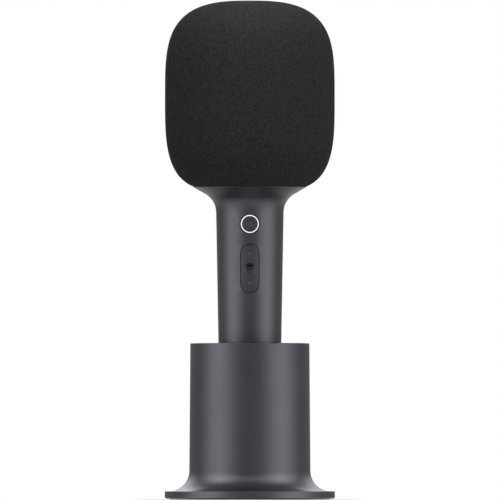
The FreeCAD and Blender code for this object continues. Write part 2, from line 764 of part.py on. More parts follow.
def charge_board():
    return box((-6.0, 6.0), (SOCKET_HALF_DEPTH, SOCKET_HALF_DEPTH + 1.0), (15.0, 26.0))


def bottom_screws():
    """Two screws that hold the cap to the chassis."""
    template = upturned(pan_screw(0, 0, 0, 1.8, 1.0, 0.9, -10.0), 0)
    screws = []
    for side in (-1, 1):
        screw = template.copy()
        screw.translate(V(side * CAP_SCREW_X, 0, CAP_FOOT_Z + 0.3))
        screws.append(screw)
    return Part.makeCompound(screws)


# ---------------------------------------------------------------- inside the head

def head_base():
    """Plate that clamps the cage onto the handle and carries the speaker housing."""
    below, above = DECK_Z - PAST, HEAD_BASE_TOP + PAST
    spigot = disc(HEAD_BASE_SPIGOT, DECK_Z, HEAD_BASE_Z)
    plate = disc(HEAD_BASE_RADIUS, HEAD_BASE_Z, HEAD_BASE_TOP).fuse(spigot)
    holes = around(disc(1.1, below, above, x=DECK_SCREW_RADIUS), DECK_SCREWS, DECK_SCREW_ANGLE)
    holes += around(disc(2.1, HEAD_BASE_TOP - 1.2, above, x=DECK_SCREW_RADIUS), DECK_SCREWS, DECK_SCREW_ANGLE)
    holes += around(disc(0.95, DECK_Z + 1, above, x=PEDESTAL_SCREW_RADIUS), 4, 45)
    return plate.cut(holes + [disc(WIRE_BORE, below, above)])


def head_base_screws():
    screw = pan_screw(DECK_SCREW_RADIUS, 0, HEAD_BASE_TOP - 0.1, 1.9, 1.1, 0.85, SHOULDER_Z + 1.5)
    return Part.makeCompound(around(screw, DECK_SCREWS, DECK_SCREW_ANGLE))


def across(solid):
    """Lays a shape made along +Z down along +X, at the height of the speakers."""
    copy = solid.copy()
    copy.rotate(ORIGIN, V(0, 1, 0), 90)
    copy.translate(V(0, 0, HOUSING_Z))
    return copy


def speaker_housing():
    """Two sealed chambers back to back, on a hollow pedestal that carries the leads."""
    half = HOUSING_HALF_LENGTH
    drum = disc(HOUSING_RADIUS, -half, half).cut([
        disc(HOUSING_BORE, PARTITION_HALF, half + PAST),
        disc(HOUSING_BORE, -half - PAST, -PARTITION_HALF),
    ])
    chamber = across(disc(HOUSING_BORE + 1, -half - PAST, half + PAST))
    foot = HEAD_BASE_TOP
    pedestal = disc(PEDESTAL_RADIUS, foot, HOUSING_Z - HOUSING_BORE)
    pedestal = pedestal.fuse(disc(PEDESTAL_FOOT_RADIUS, foot, foot + 2.0)).cut(chamber)
    top_boss = disc(6.0, TOP_BOSS_Z - 6, TOP_BOSS_Z).cut(chamber)
    body = across(drum).fuse([pedestal, top_boss]).removeSplitter()
    wiring = [disc(WIRE_BORE, foot - PAST, HOUSING_Z - HOUSING_RADIUS - 1.5)]
    wiring += [disc(1.0, 170.0, 190.0, x=side * 7.0) for side in (-1, 1)]
    wiring.append(disc(1.1, 170.0, TOP_BOSS_Z + PAST))
    screw_holes = around(disc(1.1, foot - PAST, foot + 3, x=PEDESTAL_SCREW_RADIUS), 4, 45)
    for hole in around(disc(0.95, half - 5, half + PAST, x=DRIVER_SCREW_RADIUS), 4, 45):
        screw_holes += [across(hole), spun(across(hole), 180)]
    return body.cut(wiring + screw_holes)


def housing_screws():
    screw = pan_screw(PEDESTAL_SCREW_RADIUS, 0, HEAD_BASE_TOP + 3.1, 1.9, 1.1, 0.85, 164.3)
    return Part.makeCompound(around(screw, 4, 45))


def driver_frame():
    """Speaker basket: mounting flange, four-legged cone and a seat for the magnet."""
    flange = HOUSING_HALF_LENGTH
    front = flange + BASKET_RIM
    seat = BASKET_BACK + 1.2
    basket = lathe_polygon([
        rz(BASKET_RADIUS, flange),
        rz(BASKET_RADIUS, front),
        rz(18.4, front),
        rz(18.4, flange),
        rz(9.0, seat),
        rz(6.0, seat),
        rz(6.0, BASKET_BACK),
        rz(9.6, BASKET_BACK),
        rz(19.6, flange),
    ])
    window = box((11.6, 17.4), (-4.5, 4.5), (BASKET_BACK - 3, flange - 0.6))
    holes = around(disc(1.0, flange - PAST, front + PAST, x=DRIVER_SCREW_RADIUS), 4, 45)
    return basket.cut(around(window, 4) + holes)


def driver_magnet():
    """Back plate with pole piece, ring magnet and front plate."""
    plate_top = MAGNET_BACK + 2.0
    magnet_top = BASKET_BACK - 2.1
    back = disc(MAGNET_RADIUS, MAGNET_BACK, plate_top).fuse(disc(POLE_RADIUS, plate_top, BASKET_BACK - 0.1))
    magnet = ring(MAGNET_RADIUS, POLE_RADIUS + 1.9, plate_top, magnet_top)
    front = ring(MAGNET_RADIUS - 0.8, POLE_RADIUS + 1.4, magnet_top, BASKET_BACK)
    return Part.makeCompound([back, magnet, front])


def driver_cone():
    """Paper cone with its dust cap and voice-coil tube."""
    cone = lathe_polygon([
        rz(CONE_NECK_RADIUS, CONE_NECK),
        rz(CONE_NECK_RADIUS, CONE_NECK - CONE_PAPER),
        rz(CONE_MOUTH_RADIUS, CONE_MOUTH - CONE_PAPER),
        rz(CONE_MOUTH_RADIUS, CONE_MOUTH),
    ])
    coil = ring(CONE_NECK_RADIUS, CONE_NECK_RADIUS - COIL_WALL, COIL_BACK, CONE_NECK)
    sphere = (DUST_CAP_RADIUS ** 2 + DUST_CAP_RISE ** 2) / (2 * DUST_CAP_RISE)
    centre = V(0, 0, CONE_NECK + DUST_CAP_RISE - sphere)
    dome = Part.makeSphere(sphere, centre).cut(Part.makeSphere(sphere - DUST_CAP_THICK, centre))
    dome = dome.common(disc(CONE_NECK_RADIUS - 0.2, CONE_NECK - 0.1, CONE_NECK + 2 * DUST_CAP_RISE))
    return cone.fuse([coil, dome])


def driver_surround():
    """Half-round rubber roll between cone and basket."""
    middle = sum(ROLL_RADII) / 2
    roll = (ROLL_RADII[1] - ROLL_RADII[0]) / 2
    centre = V(0, 0, ROLL_FOOT)
    tube = Part.makeTorus(middle, roll, centre, UP).cut(Part.makeTorus(middle, roll - ROLL_THICK, centre, UP))
    return tube.common(disc(ROLL_RADII[1] + PAST, ROLL_FOOT, ROLL_FOOT + roll + PAST))


def driver_spider():
    """Flat suspension ring that centres the voice coil."""
    return ring(SPIDER_RADII[1], SPIDER_RADII[0], SPIDER_FRONT - SPIDER_THICK, SPIDER_FRONT)


def speaker_screws():
    """Four screws round each speaker's flange."""
    head_top = HOUSING_HALF_LENGTH + BASKET_RIM + 1.0
    screw = pan_screw(DRIVER_SCREW_RADIUS, 0, head_top, 1.7, 1.0, 0.85, HOUSING_HALF_LENGTH - 4.5)
    right = [across(s) for s in around(screw, 4, 45)]
    return Part.makeCompound(right + [spun(s, 180) for s in right])


def capsule_mount():
    """Rubber boot that isolates the capsule from handling noise."""
    seat = CAPSULE_Z[0]
    floor = seat - 2.0
    return lathe_polygon([
        rz(1.4, TOP_BOSS_Z),
        rz(MOUNT_WALL_RADIUS, TOP_BOSS_Z),
        rz(MOUNT_WALL_RADIUS, MOUNT_TOP_Z),
        rz(CAPSULE_RADIUS + 0.05, MOUNT_TOP_Z),
        rz(CAPSULE_RADIUS + 0.05, seat),
        rz(5.0, seat),
        rz(5.0, floor),
        rz(1.4, floor),
    ])


def mic_capsule():
    """Microphone capsule: can with a ring of sound ports in its face."""
    foot, face = CAPSULE_Z
    can = soften(disc(CAPSULE_RADIUS, foot, face), 0.5, lambda e: e.BoundBox.ZMin > face - 0.1)
    port = (0.7, face - 1.2, face + PAST)
    return can.cut(around(disc(*port, x=CAPSULE_RADIUS / 2), 8) + [disc(*port)])


def windscreen_foam():
    """Open-cell foam lens against the crown of the cage, with a pocket over the capsule."""
    inset = FABRIC_THICK + CAGE_THICK + 2 * GLUE_GAP
    middle = rz(0, HEAD_WAIST_Z)
    edges = [
        crown_curve(inset),
        line(curve_end(inset, True), middle),
        line(middle, head_point(0, inset, True)),
    ]
    pocket_radius, pocket_top = FOAM_POCKET
    blank = disc(FOAM_RADIUS, FOAM_FOOT_Z, HEAD_WAIST_Z + CROWN_HEIGHT)
    return lathe(edges).common(blank).cut(disc(pocket_radius, FOAM_FOOT_Z - PAST, pocket_top))


# ---------------------------------------------------------------- wiring

def speaker_leads():
    """One wire to each speaker, up through the pedestal."""
    return Part.makeCompound([lead([
        V(side * 3.0, -LEAD_LANE, 151.0),
        V(side * 3.0, -6.2, 159.0),
        V(side * 4.6, -3.4, 167.0),
        V(side * 6.6, -0.4, 174.0),
        V(side * 7.0, 0.0, 182.0),
        V(side * 7.4, 0.0, 189.0),
        V(side * 8.4, 0.0, 195.8),
    ]) for side in (-1, 1)])


def capsule_lead():
    """Wire from the board to the capsule, up through the pedestal and the housing's partition."""
    return lead([
        V(0, -LEAD_LANE, 151.0),
        V(0, -6.0, 160.0),
        V(0, -0.9, 171.0),
        V(0, 0.0, 181.0),
        V(0, 0.0, CAPSULE_Z[0]),
    ])


def battery_lead():
    """Wire from the cell's strip to the board."""
    return lead([V(0, -LEAD_LANE - 0.2, CELL_CAP_Z + 0.2), V(0, -LEAD_LANE - 0.2, 99.9)])


def charge_lead():
    """Wire from the charging board, up in front of the cell."""
    return lead([V(3, SOCKET_HALF_DEPTH, 22.0), V(3, -9.9, 22.0), V(3, -9.9, 100.4)])


# ---------------------------------------------------------------- dock

def dock_shell():
    """Outer casing of the dock: deck, drafted wall and swept foot flange with a bevelled underside."""
    recess = FOOT_PAD_RADIUS + 0.2
    bevel_width, bevel_height = FLANGE_BEVEL
    deck_underside = DOCK_TOP_Z - DOCK_DECK_THICK
    outline = [
        rz(CUP_LIP_RADIUS + 0.1, DOCK_TOP_Z),
        rz(DOCK_TOP_RADIUS, DOCK_TOP_Z),
        rz(DOCK_FOOT_CORNER_RADIUS, FLANGE_TOP_Z),
        rz(FLANGE_RADIUS, FLANGE_TOP_Z),
        rz(FLANGE_RADIUS, FLANGE_BOTTOM_Z + bevel_height),
        rz(FLANGE_RADIUS - bevel_width, FLANGE_BOTTOM_Z),
        rz(recess, FLANGE_BOTTOM_Z),
        rz(recess, BASE_TOP_Z),
        rz(DOCK_FOOT_CORNER_RADIUS - DOCK_WALL, BASE_TOP_Z),
        rz(DOCK_TOP_RADIUS - DOCK_WALL, deck_underside),
        rz(CUP_LIP_RADIUS + 0.1, deck_underside),
    ]
    radii = [DOCK_TOP_EDGE, DOCK_SWEEP, FLANGE_EDGE, 0, 0, 0, 0, 0, 0]
    shell = lathe(rounded(outline, radii) + [line(outline[-1], outline[0])])
    boss = disc(2.6, BASE_TOP_Z, BOSS_TOP_Z, x=BASE_SCREW_RADIUS)
    pilot = disc(1.2, FLANGE_BOTTOM_Z, BOSS_TOP_Z - 1, x=BASE_SCREW_RADIUS)
    return shell.fuse(around(boss, 4, 45)).cut(around(pilot, 4, 45))


def dock_liner():
    """Soft-touch cup that takes the handle, held under the dock's deck by a collar."""
    bore_foot = handle_radius(REST_PAD_Z) + CUP_CLEARANCE
    bore_top = handle_radius(DOCK_TOP_Z) + CUP_CLEARANCE
    collar_top = DOCK_TOP_Z - DOCK_DECK_THICK
    collar_radius = CUP_LIP_RADIUS + CUP_COLLAR
    outline = [
        rz(0, CUP_FOOT_Z),
        rz(CUP_RADIUS, CUP_FOOT_Z),
        rz(CUP_RADIUS, collar_top - CUP_COLLAR),
        rz(collar_radius, collar_top - CUP_COLLAR),
        rz(collar_radius, collar_top),
        rz(CUP_LIP_RADIUS, collar_top),
        rz(CUP_LIP_RADIUS, DOCK_TOP_Z),
        rz(bore_top, DOCK_TOP_Z),
        rz(bore_foot, REST_PAD_Z),
        rz(0, REST_PAD_Z),
    ]
    radii = [0, 0, 0, 0, 0, 0.25, 1.2, 0]
    return lathe(rounded(outline, radii) + [line(outline[-1], outline[0])])


def dock_rest_pad():
    """Silicone disc under the handle."""
    return disc(HANDLE_FOOT_RADIUS - 0.3, REST_PAD_Z, HANDLE_FOOT_Z)


def dock_ballast():
    """Steel weight around the cup, low in the dock."""
    weight = ring(BALLAST_RADIUS, CUP_RADIUS + 0.6, BASE_TOP_Z, BALLAST_TOP_Z)
    return weight.cut(around(disc(1.6, BASE_TOP_Z, 10.0, x=BALLAST_SCREW_RADIUS), 3))


def dock_base_plate():
    """Plate that closes the dock, with a ring that carries the cup and countersunk screw holes."""
    plate = disc(FOOT_PAD_RADIUS, FOOT_PAD_THICK, BASE_TOP_Z)
    plate = plate.fuse(ring(CUP_RADIUS - 0.2, 12.0, BASE_TOP_Z, CUP_FOOT_Z))
    holes = []
    for circle, count, first, hole, sink in (
        (BASE_SCREW_RADIUS, 4, 45, 1.3, 2.4),
        (BALLAST_SCREW_RADIUS, 3, 0, 1.7, 2.9),
    ):
        holes += around(disc(hole, FOOT_PAD_THICK, BASE_TOP_Z, x=circle), count, first)
        holes += around(disc(sink, FOOT_PAD_THICK, FOOT_PAD_THICK + 1.0, x=circle), count, first)
    return plate.cut(holes)


def screws_from_below(circle, count, first, head_radius, shank_radius, tip_z):
    """Screws that go up through the base plate."""
    head_z = FOOT_PAD_THICK + 0.1
    template = pan_screw(circle, 0, 0, head_radius, 0.8, shank_radius, head_z - tip_z)
    screw = upturned(template, 0)
    screw.translate(V(0, 0, head_z))
    return Part.makeCompound(around(screw, count, first))


def dock_foot_pad():
    """Non-slip silicone sheet under the whole foot."""
    sheet = disc(FOOT_PAD_RADIUS, 0.0, FOOT_PAD_THICK)
    return soften(sheet, 0.25, lambda e: e.BoundBox.ZMax < 0.1 and e.Length > 9)


# ---------------------------------------------------------------- assembly

def driver_parts(name, angle):
    """All pieces of one speaker, turned about +Z to face its side."""
    makers = {
        "speaker_frame": driver_frame,
        "speaker_magnet": driver_magnet,
        "speaker_cone": driver_cone,
        "speaker_surround": driver_surround,
        "speaker_spider": driver_spider,
    }
    return {f"{name}_{piece}": spun(across(make()), angle) for piece, make in makers.items()}


def all_parts():
    envelope = handle_envelope()
    parts = {
        "fabric_cover": fabric_cover(),
        "cage_upper": cage_upper(),
        "cage_lower": cage_lower(),
        "windscreen_foam": windscreen_foam(),
        "mic_capsule": mic_capsule(),
        "capsule_mount": capsule_mount(),
        "speaker_housing": speaker_housing(),
        "housing_screws": housing_screws(),
        "head_base": head_base(),
        "head_base_screws": head_base_screws(),
        "handle_shell": handle_shell(envelope),
        "led_ring": led_ring(envelope),
        "power_button": power_button(envelope),
        "volume_rocker": volume_rocker(envelope),
        "mode_button": mode_button(),
        "button_frame": button_frame(),
        "power_key_pad": power_key_pad(),
        "volume_key_pads": volume_key_pads(),
        "mode_key_pad": mode_key_pad(),
        "tact_switches": tact_switches(),
        "led_emitters": led_emitters(),
        "main_board": main_board(),
        "board_screws": board_screws(),
        "radio_module": board_chip(7.0, (131.0, 144.0), 2.0),
        "audio_processor": board_chip(4.5, (117.0, 126.0), 1.2),
        "power_amplifier": board_chip(3.0, (107.5, 112.5), 1.2),
        "board_connectors": board_connectors(),
        "chassis": chassis(),
        "battery_cell": battery_cell(),
        "battery_tab": battery_tab(),
        "bottom_cap": bottom_cap(),
        "bottom_screws": bottom_screws(),
        "charge_socket": charge_socket(),
        "charge_board": charge_board(),
        "speaker_screws": speaker_screws(),
        "speaker_leads": speaker_leads(),
        "capsule_lead": capsule_lead(),
        "battery_lead": battery_lead(),
        "charge_lead": charge_lead(),
        "dock_shell": dock_shell(),
        "dock_liner": dock_liner(),
        "dock_rest_pad": dock_rest_pad(),
        "dock_ballast": dock_ballast(),
        "dock_base_plate": dock_base_plate(),
        "dock_base_screws": screws_from_below(BASE_SCREW_RADIUS, 4, 45, 2.2, 1.0, 7.0),
        "dock_ballast_screws": screws_from_below(BALLAST_SCREW_RADIUS, 3, 0, 2.7, 1.5, 8.7),
        "dock_foot_pad": dock_foot_pad(),
    }
    parts.update(driver_parts("right", 0))
    parts.update(driver_parts("left", 180))
    return parts


def main():
    os.makedirs(PARTS_FOLDER, exist_ok=True)
    parts = all_parts()
    for name, shape in parts.items():
        solids = shape.Solids
        sound = shape.isValid() and all(s.isClosed() and s.Volume > 0 for s in solids)
        note = "" if sound else "   <-- NOT SOUND"
        print(f"{name:22s} solids {len(solids)}  volume {shape.Volume:10.1f} mm3{note}")
        shape.exportStep(os.path.join(PARTS_FOLDER, name + ".step"))
    print(len(parts), "parts")


main()
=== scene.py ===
import bpy
import json
import math
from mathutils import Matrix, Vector


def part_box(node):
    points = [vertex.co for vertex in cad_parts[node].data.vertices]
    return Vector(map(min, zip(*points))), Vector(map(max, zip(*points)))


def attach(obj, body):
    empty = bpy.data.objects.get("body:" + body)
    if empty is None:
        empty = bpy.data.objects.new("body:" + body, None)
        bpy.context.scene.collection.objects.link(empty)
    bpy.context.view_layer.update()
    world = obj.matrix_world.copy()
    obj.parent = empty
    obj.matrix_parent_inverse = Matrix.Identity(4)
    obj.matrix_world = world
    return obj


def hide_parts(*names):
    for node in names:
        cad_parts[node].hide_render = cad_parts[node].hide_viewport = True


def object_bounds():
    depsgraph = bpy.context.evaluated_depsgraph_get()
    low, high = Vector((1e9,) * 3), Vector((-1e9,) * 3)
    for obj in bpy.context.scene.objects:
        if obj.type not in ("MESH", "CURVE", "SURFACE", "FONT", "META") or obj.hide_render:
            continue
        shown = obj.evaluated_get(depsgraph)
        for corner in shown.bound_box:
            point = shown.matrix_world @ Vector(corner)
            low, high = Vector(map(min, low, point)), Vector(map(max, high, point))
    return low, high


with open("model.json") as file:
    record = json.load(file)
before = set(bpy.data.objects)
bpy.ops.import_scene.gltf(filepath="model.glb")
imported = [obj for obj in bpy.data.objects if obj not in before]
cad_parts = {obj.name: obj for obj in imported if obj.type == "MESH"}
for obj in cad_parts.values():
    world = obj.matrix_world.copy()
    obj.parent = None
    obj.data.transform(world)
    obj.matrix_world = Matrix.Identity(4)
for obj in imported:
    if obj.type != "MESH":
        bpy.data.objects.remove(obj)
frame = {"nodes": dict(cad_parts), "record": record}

cad_low, cad_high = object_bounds()

# Metres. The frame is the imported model's: +Z up, the keys face -Y.
MM = 0.001

# ---- Framing: the object fills the picture's height ----
HEIGHT_SHARE = 0.9974
FOOT_MARGIN = 0.0014
SIDE_SHIFT = 0.00008
EYE_Z = 0.045
LENS_MM = 1700.0  # a lens over 1730 mm puts the object past the clip distance in views from other angles
SENSOR_MM = 36.0
CLIP_SHARE = 3.0

# ---- Room light: turns are in radians from the camera's side, heights are a share of straight up, ----
# ---- and each pair gives where an edge starts and ends ----
# Dim room all round, brighter low down
ROOM_LIGHT = 0.262
ROOM_LIGHT_LOW = 0.55
ROOM_LOW = (-0.55, -0.10)

# Black flag over the camera
FLAG_SHARE = 0.1
FLAG_TURN = (0.35, 0.75)
FLAG_RISE = (0.12, 0.35)

# What lights a matt surface: an even glow, a little stronger on the right
SOFT_LIGHT = 0.404
SOFT_SLOPE = 0.120

# Darkness below, which leans towards the back
UNDER_LEAN = 0.55
UNDER_RISE = (-0.97, -0.74)

# Tall screens at both sides, stronger and set further back higher up
SCREEN_LIGHT = 1.58
SCREEN_LIGHT_HIGH = 3.5
SCREEN_LEAN = 0.18
SCREEN_RISE = (0.30, 1.08)
SCREEN_FALL = (1.15, 1.86)
SCREEN_FOOT = (-0.95, -0.05)
SCREEN_HEAD = (0.74, 0.90)
SCREEN_GAIN_RISE = (0.15, 0.60)

# Canopy over the front
CANOPY_LIGHT = 1.15
CANOPY_RISE = (0.40, 0.72)
CANOPY_BACK = (-0.72, -0.32)

# Wall behind, as one patch above the horizon and a dimmer one below it
WALL_LIGHT = 2.8
WALL_LIGHT_LOW = 0.95
WALL_RISE = (0.40, 1.02)
WALL_UP = (0.06, 0.35)
WALL_DOWN = (-0.34, -0.06)
WALL_FOOT = (-1.10, -0.70)

# ---- Lamp over the head's crown ----
CROWN_LAMP_POWER = 10.4
CROWN_LAMP_PLACE = (0.01, -0.34, 0.80)
CROWN_LAMP_AIM = (0.0, -0.03, 0.25)
CROWN_LAMP_REACH = 0.06
CROWN_LAMP_RADIUS = 0.05

# ---- Floor ----
FLOOR_RADIUS = 0.06
FLOOR_RINGS = 8
FLOOR_SEGMENTS = 96
FLOOR_DROP = 0.0002
FLOOR_TONES = (0.80, 0.84)
FLOOR_GLOW = 0.35

# ---- Head outline, as two superelliptic curves that meet at the widest ring ----
WAIST_Z = 0.2064
CROWN_POWERS = (3.83, 2.90)
BOWL_DEPTH = 0.04695
BOWL_POWERS = (3.20, 4.40)
KNIT_THICK = 0.0008
KNIT_SEGMENTS = 288
CROWN_RINGS = 90
BOWL_RINGS = 70

# ---- Knit pattern, with painted shade in the gaps between stitches and a painted sheen on each leg ----
WALES = 420
COURSE_MM = 0.46
CROWN_WALE_MM = 0.66
CROWN_BLEND_Z = (0.2440, 0.2500)
# Painted shade: the yarn's colour down in the gaps between stitches, where shade falls
YARN_GAP_SHADE = (0.031, 0.031, 0.031, 1)
YARN_LIGHT = (0.100, 0.100, 0.101, 1)
# Painted sheen: the range of random brightness given to each leg of yarn
YARN_SHEEN = (0.66, 1.34)

# ---- Light ring: strength, and how deep under its face the glow ends and how deep it is full ----
LED_GLOW = 1.03
LED_GLOW_DEPTH = (0.00045, 0.00025)

# ---- Metallic paint: tones of the casings and keys, and red, green and blue shares of a tone ----
CASING_TONE = 0.135
KEY_TONE = 0.125
PAINT_TINT = (1.0, 0.98, 1.12)
PAINT_METAL_SHARE = 0.75
PAINT_ROUGHNESS = (0.37, 0.43)

# ---- Foam pad: edge rounding, and the capsule's hollow as radius, height, rim and corner ----
FOAM_RINGS = 60
FOAM_SEGMENTS = 120
FOAM_DOME_SHARE = 0.985
FOAM_DOME_EDGE = 0.0006
FOAM_FOOT_EDGE = 0.0010
FOAM_HOLLOW_RADIUS = 0.0104
FOAM_HOLLOW_HEIGHT = 0.0041
FOAM_HOLLOW_RIM = 0.0006
FOAM_HOLLOW_CORNER = (0.0008, 0.0005)

# ---- Handle, for the marks printed in its keys ----
HANDLE_FOOT_Z = 0.012
HANDLE_FOOT_RADIUS = 0.0151
HANDLE_TAPER = 0.0176
MARK_SINK = 0.00005
MARK_DEPTH = 0.00011
MARK_HALF_WIDTH = 0.00015
MARK_REACH = 0.00080
POWER_MARK_RADIUS = 0.00097
POWER_MARK_GAP = math.radians(26)
POWER_BAR_RISE = 0.00077
POWER_BAR_REACH = 0.0005
VOLUME_MARK_OFFSET = 0.0076


# ---------------------------------------------------------------- node helpers

def grey(value):
    return (value, value, value, 1)


class Nodes:
    """Short calls that add nodes to a tree."""

    def __init__(self, tree):
        self.tree = tree

    def node(self, kind, inputs=None, **settings):
        made = self.tree.nodes.new(kind)
        for key, value in settings.items():
            setattr(made, key, value)
        for key, value in (inputs or {}).items():
            self.feed(made.inputs[key], value)
        return made

    def feed(self, socket, value):
        if isinstance(value, bpy.types.NodeSocket):
            self.tree.links.new(value, socket)
        else:
            socket.default_value = value

    def math(self, operation, a, b=0.0, c=0.0):
        return self.node("ShaderNodeMath", {0: a, 1: b, 2: c}, operation=operation).outputs[0]

    def product(self, first, *others):
        """All the factors multiplied."""
        for factor in others:
            first = self.math("MULTIPLY", first, factor)
        return first

    def span(self, value, low, high, to_low=0.0, to_high=1.0):
        """Smooth step of value from low..high onto to_low..to_high."""
        inputs = {"Value": value, "From Min": low, "From Max": high, "To Min": to_low, "To Max": to_high}
        return self.node("ShaderNodeMapRange", inputs, interpolation_type="SMOOTHSTEP").outputs["Result"]


class Graph(Nodes):
    """Builds one node material round a Principled shader."""

    def __init__(self, name):
        self.material = bpy.data.materials.new(name)
        self.material.use_nodes = True
        super().__init__(self.material.node_tree)
        self.shader = self.tree.nodes["Principled BSDF"]
        self.coordinates = self.tree.nodes.new("ShaderNodeTexCoord").outputs["Object"]

    def noise(self, scale, detail=2.0, roughness=0.5, vector=None):
        inputs = {
            "Vector": vector or self.coordinates,
            "Scale": scale,
            "Detail": detail,
            "Roughness": roughness,
        }
        return self.node("ShaderNodeTexNoise", inputs).outputs["Fac"]

    def cells(self, scale):
        """Distance to the middle of the nearest cell."""
        inputs = {"Vector": self.coordinates, "Scale": scale}
        return self.node("ShaderNodeTexVoronoi", inputs).outputs["Distance"]

    def stretched(self, x, y, z):
        """The object's coordinates, scaled along each axis."""
        return self.node("ShaderNodeMapping", {"Vector": self.coordinates, "Scale": (x, y, z)}).outputs[0]

    def ramp(self, value, stops):
        made = self.node("ShaderNodeValToRGB", {"Fac": value})
        elements = made.color_ramp.elements
        while len(elements) < len(stops):
            elements.new(0.5)
        for element, (position, colour) in zip(elements, stops):
            element.position = position
            element.color = colour
        return made.outputs["Color"]

    def mix(self, factor, a, b, blend="MIX"):
        made = self.node("ShaderNodeMix", {"Factor": factor}, data_type="RGBA", blend_type=blend)
        self.feed(made.inputs[6], a)
        self.feed(made.inputs[7], b)
        return made.outputs[2]

    def bump(self, height, distance, strength=1.0, under=None):
        inputs = {"Height": height, "Distance": distance, "Strength": strength}
        if under is not None:
            inputs["Normal"] = under
        return self.node("ShaderNodeBump", inputs).outputs["Normal"]

    def colour(self, value):
        self.feed(self.shader.inputs["Base Color"], value)

    def set(self, name, value):
        self.feed(self.shader.inputs[name], value)


# ---------------------------------------------------------------- camera, light and floor

def make_camera():
    """Nearly level view of the keys' side from far away, so that it is almost free of perspective."""
    field = (cad_high.z - cad_low.z) / HEIGHT_SHARE
    data = bpy.data.cameras.new("camera")
    data.lens = LENS_MM
    data.sensor_width = SENSOR_MM
    distance = LENS_MM / SENSOR_MM * field
    data.clip_end = distance * CLIP_SHARE
    camera = bpy.data.objects.new("camera", data)
    rise = math.atan2(cad_low.z + field * (0.5 - FOOT_MARGIN) - EYE_Z, distance)
    camera.location = (SIDE_SHIFT, -distance, EYE_Z)
    camera.rotation_euler = (math.pi / 2 + rise, 0, 0)
    bpy.context.collection.objects.link(camera)
    bpy.context.scene.camera = camera


def make_world():
    """White to the camera and an even glow to matt surfaces. What shines sees a dim room with a tall
    bright screen on each side, a canopy over the front, a pale wall far behind and a black flag."""
    world = bpy.data.worlds.new("studio")
    world.use_nodes = True
    room = Nodes(world.node_tree)
    world.node_tree.nodes.clear()
    direction = room.node("ShaderNodeTexCoord").outputs["Generated"]
    axes = room.node("ShaderNodeSeparateXYZ", {0: direction}).outputs
    up = room.math("MAXIMUM", axes["Z"], 0.0)
    forward = room.math("SUBTRACT", room.math("MULTIPLY", up, SCREEN_LEAN), axes["Y"])
    turn = room.math("ABSOLUTE", room.math("ARCTAN2", axes["X"], forward))
    under = room.math("MULTIPLY_ADD", axes["Y"], -UNDER_LEAN, axes["Z"])
    flag = room.product(room.span(turn, *FLAG_TURN, 1.0, 0.0), room.span(axes["Z"], *FLAG_RISE))
    dim = room.product(
        room.span(axes["Z"], *ROOM_LOW, ROOM_LIGHT_LOW, ROOM_LIGHT),
        room.span(under, *UNDER_RISE),
        room.span(flag, 0.0, 1.0, 1.0, FLAG_SHARE),
    )
    screen = room.product(
        room.span(turn, *SCREEN_RISE),
        room.span(turn, *SCREEN_FALL, 1.0, 0.0),
        room.span(axes["Z"], *SCREEN_FOOT),
        room.span(axes["Z"], *SCREEN_HEAD, 1.0, 0.0),
        room.span(axes["Z"], *SCREEN_GAIN_RISE, SCREEN_LIGHT, SCREEN_LIGHT_HIGH),
    )
    canopy = room.product(
        room.span(axes["Z"], *CANOPY_RISE),
        room.span(axes["Y"], *CANOPY_BACK, 1.0, 0.0),
        CANOPY_LIGHT,
    )
    low_wall = room.product(
        room.span(axes["Z"], *WALL_DOWN, WALL_LIGHT_LOW, 0.0),
        room.span(axes["Z"], *WALL_FOOT),
    )
    high_wall = room.span(axes["Z"], *WALL_UP, 0.0, WALL_LIGHT)
    wall = room.product(room.span(axes["Y"], *WALL_RISE), room.math("ADD", low_wall, high_wall))
    light = room.math("ADD", room.math("ADD", dim, screen), room.math("ADD", canopy, wall))
    rays = room.node("ShaderNodeLightPath").outputs
    soft = room.math("MULTIPLY_ADD", axes["X"], SOFT_SLOPE, SOFT_LIGHT)
    level = room.node("ShaderNodeMix", {"Factor": rays["Is Diffuse Ray"], "A": light, "B": soft})
    lit = room.node("ShaderNodeBackground", {"Strength": level.outputs["Result"]})
    white = room.node("ShaderNodeBackground", {"Color": (1, 1, 1, 1), "Strength": 1.0})
    seen = {0: rays["Is Camera Ray"], 1: lit.outputs[0], 2: white.outputs[0]}
    mix = room.node("ShaderNodeMixShader", seen)
    room.node("ShaderNodeOutputWorld", {"Surface": mix.outputs[0]})
    # A world that is sampled as a lamp doesn't know the kind of ray that it lights.
    world.cycles.sampling_method = "NONE"
    bpy.context.scene.world = world


def make_lights():
    """One soft-edged lamp from above and in front, for the head's crown."""
    data = bpy.data.lights.new("crown_lamp", "SPOT")
    data.energy = CROWN_LAMP_POWER
    data.shadow_soft_size = CROWN_LAMP_RADIUS
    beam = Vector(CROWN_LAMP_PLACE) - Vector(CROWN_LAMP_AIM)
    data.spot_size = 2 * math.atan(CROWN_LAMP_REACH / beam.length)
    data.spot_blend = 1.0
    light = bpy.data.objects.new("crown_lamp", data)
    light.location = CROWN_LAMP_PLACE
    light.rotation_euler = beam.to_track_quat("Z", "Y").to_euler()
    light.visible_glossy = False
    bpy.context.collection.objects.link(light)


def make_floor():
    """Small round pale floor under the foot."""
    profile = [(FLOOR_RADIUS * i / FLOOR_RINGS, 0.0) for i in range(FLOOR_RINGS + 1)]
    floor = lathe_object("floor", profile, FLOOR_SEGMENTS)
    floor.location.z = -FLOOR_DROP
    floor.visible_glossy = False
    g = Graph("floor_pale")
    speckle = g.ramp(g.noise(scale=60, detail=4), list(zip((0.3, 0.7), map(grey, FLOOR_TONES))))
    g.colour(speckle)
    g.set("Roughness", 0.7)
    g.set("Emission Color", speckle)
    g.set("Emission Strength", FLOOR_GLOW)
    floor.data.materials.append(g.material)


# ---------------------------------------------------------------- mesh helpers

